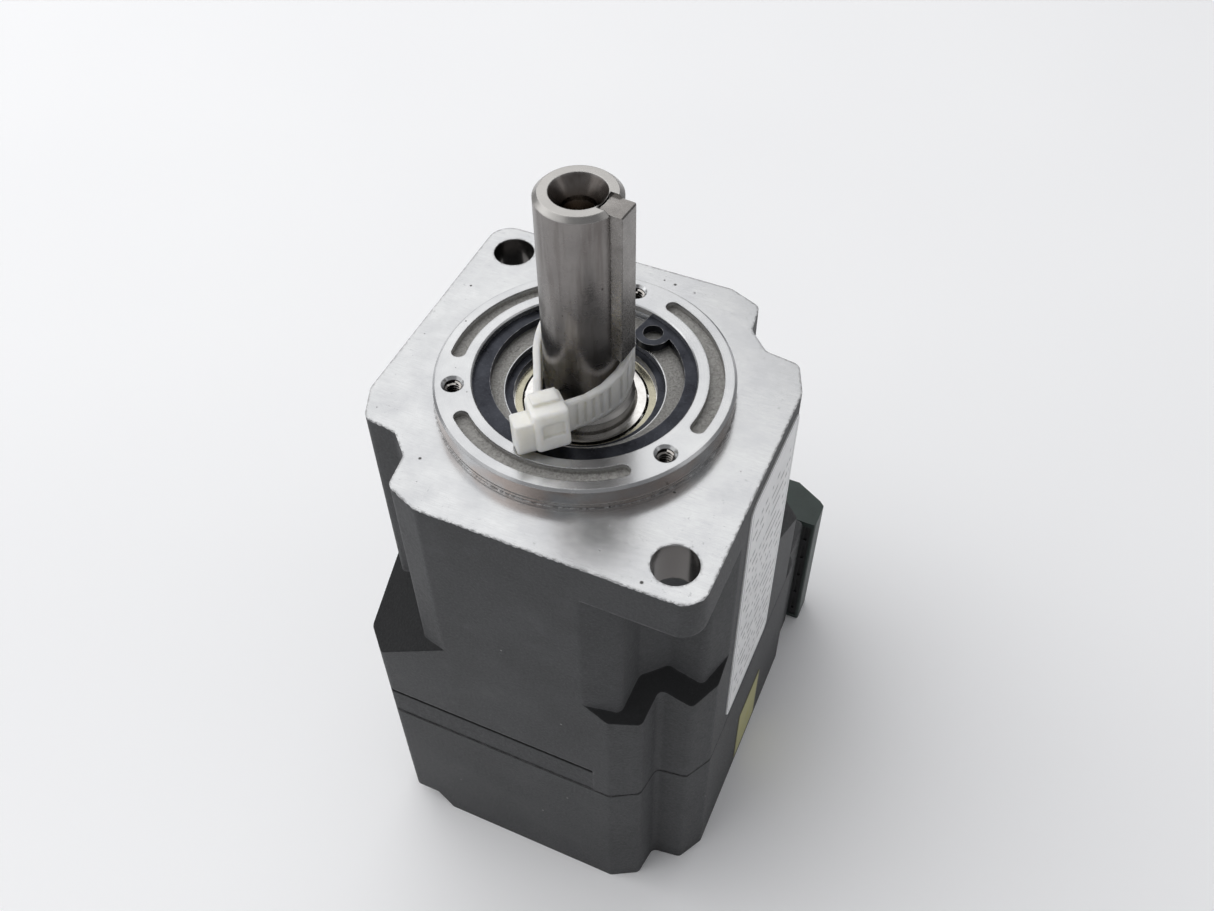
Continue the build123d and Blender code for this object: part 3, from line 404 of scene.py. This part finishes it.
def make_turned_steel(name, color, rough, aniso, stain):
    """Turned or ground steel: fine rings round the axis, faint stains, bright and dull patches."""
    t = Tree(name)
    rings = t.noise(1.0, 3.0, 0.6, t.stretched(0.05, 0.05, 9.0))
    cloud = t.noise(0.14, 4.0, 0.6)
    streaks = t.noise(0.5, 3.0, 0.6, t.stretched(1.0, 1.0, 0.12))
    body = t.mix(t.ramp(cloud, 0.3, 0.7), shade_color(color, 0.85), shade_color(color, 1.1))
    body = t.mix(t.mul(t.ramp(streaks, 0.45, 0.75), stain), body, (0.20, 0.14, 0.10))
    body = t.mix(t.mul(t.specks(0.6, 0.12, 0.04), 0.8), body, (0.04, 0.035, 0.03))
    worn = t.mul(t.edge(0.25), t.ramp(t.noise(1.1), 0.4, 0.6))
    body = t.mix(t.mul(worn, 0.5), body, (0.85, 0.85, 0.84))
    roughness = t.add(t.ramp(cloud, 0.3, 0.7, rough * 0.8, rough * 1.2), t.mul(rings, 0.06))
    normal = t.bump(t.add(rings, t.mul(streaks, 0.3)), 0.012, 0.35)
    extra = {}
    if aniso:
        extra = {"aniso": aniso, "tangent": t.radial_tangent()}
    return t.finish(color=body, metal=1.0, rough=roughness, normal=normal, **extra)


def make_shaft_steel(name):
    """Ground shaft: brownish steel with fine rings, bright tip face and a centring hole darkened
    deeper down as painted shade.
    """
    t = Tree(name)
    r = t.radius()
    rings = t.noise(1.0, 3.0, 0.6, t.stretched(0.05, 0.05, 9.0))
    cloud = t.noise(0.14, 4.0, 0.6)
    streaks = t.noise(0.5, 3.0, 0.6, t.stretched(1.0, 1.0, 0.10))
    body = t.mix(t.ramp(cloud, 0.3, 0.7), (0.205, 0.193, 0.187), (0.265, 0.25, 0.24))
    body = t.mix(t.mul(t.ramp(streaks, 0.45, 0.7), 0.5), body, (0.085, 0.07, 0.062))
    tip = t.mul(t.ramp(t.z, SHAFT_TIP_Z, SHAFT_TIP_Z + 0.1), t.ramp(r, 5.2, 5.3))
    seat = t.ramp(t.z, 2.9, 3.1, 1.0, 0.0)
    body = t.mix(t.mul(t.either(tip, seat), 0.85), body, (0.40, 0.39, 0.375))
    hole = t.mul(t.ramp(t.z, 28.0, 28.2), t.ramp(r, 5.0, 5.2, 1.0, 0.0))
    # painted shade: the hole gets darker the deeper it goes
    painted_hole_shade = t.mul(hole, t.ramp(t.z, 44.0, 47.5, 1.0, 0.35))
    body = t.mix(painted_hole_shade, body, (0.075, 0.055, 0.04))
    body = t.mix(t.mul(t.specks(0.45, 0.2, 0.12), 0.8), body, (0.035, 0.03, 0.028))
    worn = t.mul(t.edge(0.3), t.ramp(t.noise(1.1), 0.36, 0.56))
    body = t.mix(t.mul(worn, 0.6), body, (0.58, 0.57, 0.55))
    roughness = t.add(t.ramp(cloud, 0.3, 0.7, 0.20, 0.30), t.mul(rings, 0.06))
    normal = t.bump(t.add(rings, t.mul(streaks, 0.3)), 0.012, 0.35, t.rounded(0.25))
    side = t.mul(t.sub(1.0, tip), t.sub(1.0, hole))
    return t.finish(
        color=body, metal=1.0, rough=roughness, normal=normal, aniso=t.mul(side, 0.7),
        tangent=t.radial_tangent())


def make_dark_spring_steel(name):
    """Blue-black retaining ring with oil sheen and bright wear on its edges."""
    t = Tree(name)
    cloud = t.noise(0.2, 4.0, 0.6)
    fine = t.noise(3.0, 3.0, 0.6)
    body = t.mix(t.ramp(cloud, 0.35, 0.7), (0.014, 0.015, 0.020), (0.045, 0.048, 0.058))
    body = t.mix(t.mul(t.ramp(fine, 0.55, 0.75), 0.3), body, (0.10, 0.11, 0.13))
    worn = t.mul(t.edge(0.22), t.ramp(t.noise(0.8, 4.0), 0.36, 0.6))
    body = t.mix(t.mul(worn, 0.75), body, (0.55, 0.55, 0.56))
    rough = t.ramp(cloud, 0.3, 0.7, 0.24, 0.42)
    normal = t.bump(fine, 0.03, 0.4)
    return t.finish(color=body, metal=0.85, rough=rough, normal=normal)


def make_plated_steel(name, color, rough=0.3, tint=(0.35, 0.3, 0.2)):
    """Plated, lapped or black steel with light scratches and oil."""
    t = Tree(name)
    cloud = t.noise(0.25, 4.0, 0.6)
    fine = t.noise(2.5, 4.0, 0.65)
    body = t.mix(t.ramp(cloud, 0.3, 0.7), shade_color(color, 0.8), shade_color(color, 1.15))
    body = t.mix(t.mul(t.ramp(fine, 0.55, 0.8), 0.3), body, tint)
    worn = t.mul(t.edge(0.2), t.ramp(t.noise(1.0, 4.0), 0.4, 0.6))
    body = t.mix(t.mul(worn, 0.6), body, (0.7, 0.7, 0.69))
    roughness = t.ramp(fine, 0.3, 0.7, rough * 0.75, rough * 1.3)
    normal = t.bump(fine, 0.015, 0.4)
    return t.finish(color=body, metal=1.0, rough=roughness, normal=normal)


def make_nylon(name):
    """Milky natural nylon, slightly translucent, with handling dirt in its corners."""
    t = Tree(name)
    cloud = t.noise(0.25, 3.0, 0.6)
    fine = t.noise(2.2, 3.0, 0.6)
    body = t.mix(t.ramp(cloud, 0.3, 0.7), (0.80, 0.79, 0.74), (0.90, 0.89, 0.85))
    body = t.mix(t.mul(t.edge(0.4), 0.25), body, (0.94, 0.93, 0.90))
    body = t.mix(t.mul(t.specks(0.5, 0.1, 0.05), 0.5), body, (0.45, 0.42, 0.36))
    rough = t.ramp(fine, 0.3, 0.7, 0.3, 0.45)
    normal = t.bump(fine, 0.04, 0.3, t.rounded(0.8))
    return t.finish(
        color=body, rough=rough, normal=normal, subsurface=0.75, subsurface_scale=0.003,
        subsurface_radius=(1.0, 0.95, 0.8), specular=0.45)


def make_plastic(name, color, rough=0.5):
    """Moulded plastic or rubber with a fine moulded grain, dust and rubbed edges."""
    t = Tree(name)
    cloud = t.noise(0.12, 3.0, 0.6)
    grain = t.noise(3.2, 3.0, 0.6)
    body = t.mix(t.ramp(cloud, 0.3, 0.7), shade_color(color, 0.8), shade_color(color, 1.25))
    body = t.mix(t.mul(t.specks(0.5, 0.14, 0.05), 0.5), body, (0.4, 0.4, 0.38))
    worn = t.mul(t.edge(0.35), t.ramp(t.noise(0.7, 4.0), 0.42, 0.62))
    body = t.mix(t.mul(worn, 0.35), body, shade_color([c + 0.08 for c in color], 1.4))
    roughness = t.ramp(grain, 0.3, 0.7, rough * 0.85, rough * 1.15)
    normal = t.bump(grain, 0.05, 0.5)
    return t.finish(color=body, rough=roughness, normal=normal)


def make_laminations(name):
    """Stack of thin punched sheets seen from the side."""
    t = Tree(name)
    layer = t.math("PINGPONG", t.z, 0.25)
    gap = t.ramp(layer, 0.0, 0.06, 1.0, 0.0)
    cloud = t.noise(0.3, 4.0)
    body = t.mix(t.ramp(cloud, 0.3, 0.7), (0.20, 0.20, 0.21), (0.36, 0.36, 0.37))
    body = t.mix(t.mul(gap, 0.8), body, (0.05, 0.05, 0.05))
    rough = t.ramp(cloud, 0.3, 0.7, 0.35, 0.5)
    normal = t.bump(t.sub(0.0, gap), 0.05, 0.5)
    return t.finish(color=body, metal=0.9, rough=rough, normal=normal)


def make_copper(name):
    """Wound enamelled wire: fine turns running round each coil."""
    t = Tree(name)
    turns = t.math("PINGPONG", t.radius(), 0.35)
    strand = t.ramp(turns, 0.0, 0.35)
    cloud = t.noise(0.3, 3.0)
    body = t.mix(t.ramp(cloud, 0.3, 0.7), (0.42, 0.17, 0.06), (0.62, 0.28, 0.10))
    body = t.mix(t.mul(t.ramp(strand, 0.0, 0.3, 1.0, 0.0), 0.7), body, (0.12, 0.04, 0.02))
    normal = t.bump(strand, 0.2, 0.7)
    return t.finish(color=body, metal=0.8, rough=t.ramp(cloud, 0.3, 0.7, 0.25, 0.4), normal=normal)


def make_board(name):
    """Green solder mask with faint tracks and pads."""
    t = Tree(name)
    tracks_x = t.math("PINGPONG", t.x, 1.1)
    line = t.ramp(tracks_x, 0.15, 0.3, 1.0, 0.0)
    region = t.ramp(t.noise(0.12, 1.0), 0.48, 0.52)
    pads = t.ramp(t.cells(0.35).outputs["Distance"], 0.18, 0.22, 1.0, 0.0)
    body = t.mix(t.mul(line, region), (0.012, 0.12, 0.05), (0.03, 0.24, 0.11))
    body = t.mix(t.mul(pads, 0.8), body, (0.62, 0.62, 0.58))
    normal = t.bump(t.add(t.mul(line, region), pads), 0.04, 0.4)
    return t.finish(color=body, rough=t.ramp(t.noise(1.0), 0.3, 0.7, 0.25, 0.4), normal=normal)


def make_rating_label_material(name):
    """White coated paper with rows of plain grey bars and no lettering."""
    t = Tree(name)
    paper = t.noise(0.15, 3.0)
    body = t.mix(t.ramp(paper, 0.3, 0.7), (0.74, 0.745, 0.75), (0.84, 0.84, 0.84))
    row = t.math("FRACT", t.mul(t.add(t.z, 90.0), 1 / 3.6))
    in_row = t.within(row, 0.3, 0.62, 0.04)
    word_seed = t.math("FLOOR", t.mul(t.add(t.z, 90.0), 1 / 3.6))
    words = t.noise(1.0, 1.0, 0.5, t.combined(t.mul(t.y, 0.55), t.mul(word_seed, 7.3), 0.0))
    bars = t.mul(in_row, t.ramp(words, 0.46, 0.5))
    inside = t.mul(t.within(t.y, -10.0, 13.5, 0.1), t.within(t.z, -78.0, -12.0, 0.1))
    bars = t.mul(bars, inside)
    frame_line = t.mul(t.within(t.y, -11.6, 15.0, 0.05), t.within(t.z, -83.0, -5.2, 0.05))
    inner_line = t.mul(t.within(t.y, -11.1, 14.5, 0.05), t.within(t.z, -82.5, -5.7, 0.05))
    border = t.sub(frame_line, inner_line)
    body = t.mix(t.mul(bars, 0.65), body, (0.12, 0.12, 0.13))
    body = t.mix(t.mul(border, 0.5), body, (0.15, 0.15, 0.16))
    smudge = t.ramp(t.noise(0.08, 4.0, 0.7), 0.5, 0.75)
    body = t.mix(t.mul(smudge, 0.18), body, (0.35, 0.34, 0.32))
    # painted shadow along the label's edges
    body = t.mix(t.mul(t.edge(0.2), 0.7), body, (0.08, 0.08, 0.08))
    normal = t.bump(t.noise(1.3, 3.0), 0.02, 0.4)
    return t.finish(color=body, rough=t.ramp(paper, 0.3, 0.7, 0.32, 0.45), normal=normal)


def make_yellow_label_material(name):
    t = Tree(name)
    paper = t.noise(0.3, 3.0)
    body = t.mix(t.ramp(paper, 0.3, 0.7), (0.33, 0.32, 0.11), (0.42, 0.40, 0.15))
    border = t.sub(1.0, t.mul(t.within(t.y, 3.2, 17.6, 0.06), t.within(t.z, -131.6, -109.8, 0.06)))
    body = t.mix(t.mul(border, 0.7), body, (0.06, 0.055, 0.03))
    body = t.mix(t.mul(t.ramp(t.noise(0.2, 4.0, 0.7), 0.5, 0.7), 0.25), body, (0.25, 0.22, 0.12))
    normal = t.bump(t.noise(1.3, 3.0), 0.02, 0.4)
    return t.finish(color=body, rough=t.ramp(paper, 0.3, 0.7, 0.35, 0.5), normal=normal)


MATERIALS = {
    "front_casting": make_machined_casting("front_casting"),
    "rear_casting": make_painted_casting("rear_casting"),
    "spring_steel": make_dark_spring_steel("spring_steel"),
    "shaft_steel": make_turned_steel("shaft_steel", (0.33, 0.31, 0.295), 0.24, 0.7, 0.35),
    "shaft_end_steel": make_shaft_steel("shaft_end_steel"),
    "key_steel": make_plated_steel("key_steel", (0.24, 0.228, 0.218), 0.28, (0.2, 0.165, 0.14)),
    "bearing_steel": make_turned_steel("bearing_steel", (0.66, 0.65, 0.63), 0.18, 0.0, 0.2),
    "ball_steel": make_plated_steel("ball_steel", (0.75, 0.75, 0.75), 0.1, (0.6, 0.6, 0.6)),
    "shield_plate": make_plated_steel("shield_plate", (0.36, 0.34, 0.26), 0.26, (0.24, 0.21, 0.13)),
    "gear_steel": make_plated_steel("gear_steel", (0.40, 0.40, 0.41), 0.28, (0.2, 0.16, 0.1)),
    "bare_aluminium": make_turned_steel("bare_aluminium", (0.76, 0.765, 0.77), 0.32, 0.0, 0.12),
    "thread_metal": make_plated_steel("thread_metal", (0.34, 0.32, 0.30), 0.14, (0.12, 0.10, 0.08)),
    "bronze": make_plated_steel("bronze", (0.55, 0.36, 0.16), 0.35, (0.3, 0.18, 0.08)),
    "black_screw": make_plated_steel("black_screw", (0.045, 0.045, 0.05), 0.35, (0.1, 0.09, 0.08)),
    "zinc_screw": make_plated_steel("zinc_screw", (0.66, 0.67, 0.68), 0.25, (0.5, 0.5, 0.45)),
    "nylon": make_nylon("nylon"),
    "rubber": make_plastic("rubber", (0.018, 0.018, 0.019), 0.6),
    "black_plastic": make_plastic("black_plastic", (0.022, 0.022, 0.024), 0.45),
    "hood_plastic": make_plastic("hood_plastic", (0.025, 0.039, 0.034), 0.5),
    "capacitor": make_plastic("capacitor", (0.09, 0.10, 0.14), 0.35),
    "gold_pin": make_plated_steel("gold_pin", (0.85, 0.62, 0.25), 0.22, (0.6, 0.45, 0.2)),
    "magnet": make_plated_steel("magnet", (0.52, 0.52, 0.53), 0.22, (0.35, 0.33, 0.3)),
    "laminations": make_laminations("laminations"),
    "copper": make_copper("copper"),
    "board": make_board("board"),
    "label_white": make_rating_label_material("label_white"),
    "label_yellow": make_yellow_label_material("label_yellow"),
}

SLOT_FINISH = {
    "painted_casting": "rear_casting",
    "raw_casting": "bare_aluminium",
    "spring_steel": "spring_steel",
    "ground_steel": "shaft_steel",
    "bearing_steel": "bearing_steel",
    "shield": "shield_plate",
    "gear_steel": "gear_steel",
    "bronze": "bronze",
    "black_screw": "black_screw",
    "zinc_screw": "zinc_screw",
    "nylon": "nylon",
    "seal_rubber": "rubber",
    "lamination": "laminations",
    "copper": "copper",
    "magnet": "magnet",
    "board_green": "board",
    "black_plastic": "black_plastic",
    "hood_plastic": "hood_plastic",
    "capacitor": "capacitor",
    "gold_pin": "gold_pin",
    "label_white": "label_white",
    "label_yellow": "label_yellow",
}
NODE_FINISH = {
    "front_housing": "front_casting",
    "output_shaft": "shaft_end_steel",
    "shaft_key": "key_steel",
    "front_bearing_balls": "ball_steel",
    "rear_bearing_balls": "ball_steel",
    "motor_front_bearing_balls": "ball_steel",
    "motor_rear_bearing_balls": "ball_steel",
}

for part in frame["record"]["subparts"]:
    node = NODES[part["node"]]
    finish = NODE_FINISH.get(part["node"], SLOT_FINISH[part["material_slot"]])
    node.data.materials.clear()
    node.data.materials.append(MATERIALS[finish])


# ---------------------------------------------------------------- screw threads

def thread_piece(name, size, centre, body):
    """Helical thread crests standing inwards from the wall of a plain core hole."""
    pitch = size["pitch"]
    steps = int((size["z_top"] - size["z_low"]) / pitch * THREAD_STEPS_PER_TURN)
    # crest section: distance out from the core wall in mm, and height in pitches
    profile = ((0.02, -0.28), (-size["depth"], -0.06), (-size["depth"], 0.06), (0.02, 0.28))
    vertices, faces = [], []
    for step in range(steps + 1):
        angle = 2 * math.pi * step / THREAD_STEPS_PER_TURN
        z = size["z_low"] + pitch * step / THREAD_STEPS_PER_TURN
        for outward, rise in profile:
            r = size["radius"] + outward
            x = centre[0] + r * math.cos(angle)
            y = centre[1] + r * math.sin(angle)
            vertices.append((x * MM, y * MM, (z + rise * pitch) * MM))
    count = len(profile)
    for step in range(steps):
        for k in range(count):
            a = step * count + k
            b = step * count + (k + 1) % count
            faces.append((a, b, b + count, a + count))
    faces.append(tuple(reversed(range(count))))
    faces.append(tuple(range(steps * count, steps * count + count)))
    mesh = bpy.data.meshes.new(name)
    mesh.from_pydata(vertices, [], faces)
    mesh.validate()
    mesh.materials.append(MATERIALS["thread_metal"])
    for polygon in mesh.polygons:
        polygon.use_smooth = False
    piece = bpy.data.objects.new(name, mesh)
    bpy.context.scene.collection.objects.link(piece)
    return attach(piece, body)


for number, angle in enumerate(THREAD_ANGLES, 1):
    name = "boss_thread_%d" % number
    thread_piece(name, M4_THREAD, thread_centre(angle), "housing")
thread_piece("shaft_end_thread", M6_THREAD, (0.0, 0.0), "output")


# ---------------------------------------------------------------- floor, light and camera

# name, place in metres, width and height in metres, power in watts; all aim at the origin
SOFT_BOXES = (
    ("back_left_box", (-0.95, 0.35, 1.5), (3.0, 3.0), 37.0),
    ("front_left_box", (-1.4, -1.0, 1.2), (2.0, 2.0), 8.0),
    ("right_box", (1.3, 0.2, 0.7), (0.5, 1.0), 0.8),
)
SKY_COLOR = (0.97, 0.975, 1.0, 1.0)
SKY_STRENGTH = 0.33

# the camera's place in metres and its right and up directions
CAMERA_PLACE = (0.073532, -0.149658, 0.174896)
CAMERA_RIGHT = (0.913423, 0.406858, -0.011216)
CAMERA_UP = (-0.302682, 0.697448, 0.649576)
CAMERA_LENS = 35.763


def make_floor():
    t = Tree("floor")
    cloud = t.noise(0.004, 2.0)
    body = t.mix(t.ramp(cloud, 0.3, 0.7), (0.94, 0.942, 0.952), (0.965, 0.967, 0.975))
    material = t.finish(color=body, rough=0.75, specular=0.1)
    bpy.ops.mesh.primitive_plane_add(size=8.0, location=(0, 0, FLOOR_Z * MM))
    floor = bpy.context.object
    floor.name = "floor"
    floor.data.materials.append(material)


def make_soft_box(name, place, size, power):
    data = bpy.data.lights.new(name, "AREA")
    data.shape = "RECTANGLE"
    data.size, data.size_y = size
    data.energy = power
    lamp = bpy.data.objects.new(name, data)
    bpy.context.scene.collection.objects.link(lamp)
    lamp.location = place
    lamp.rotation_euler = (-Vector(place)).to_track_quat("-Z", "Y").to_euler()


def make_world():
    world = bpy.data.worlds.new("studio")
    bpy.context.scene.world = world
    world.use_nodes = True
    background = world.node_tree.nodes["Background"]
    background.inputs["Color"].default_value = SKY_COLOR
    background.inputs["Strength"].default_value = SKY_STRENGTH
    bpy.context.scene.view_settings.view_transform = "Standard"


def make_camera():
    data = bpy.data.cameras.new("camera")
    data.sensor_width = 36.0
    data.lens = CAMERA_LENS
    data.clip_start = 0.01
    data.clip_end = 20.0
    camera = bpy.data.objects.new("camera", data)
    bpy.context.scene.collection.objects.link(camera)
    right, up = Vector(CAMERA_RIGHT), Vector(CAMERA_UP)
    matrix = Matrix((right, up, right.cross(up))).transposed().to_4x4()
    matrix.translation = Vector(CAMERA_PLACE)
    camera.matrix_world = matrix
    bpy.context.scene.camera = camera


make_floor()
make_world()
for box in SOFT_BOXES:
    make_soft_box(*box)
make_camera()
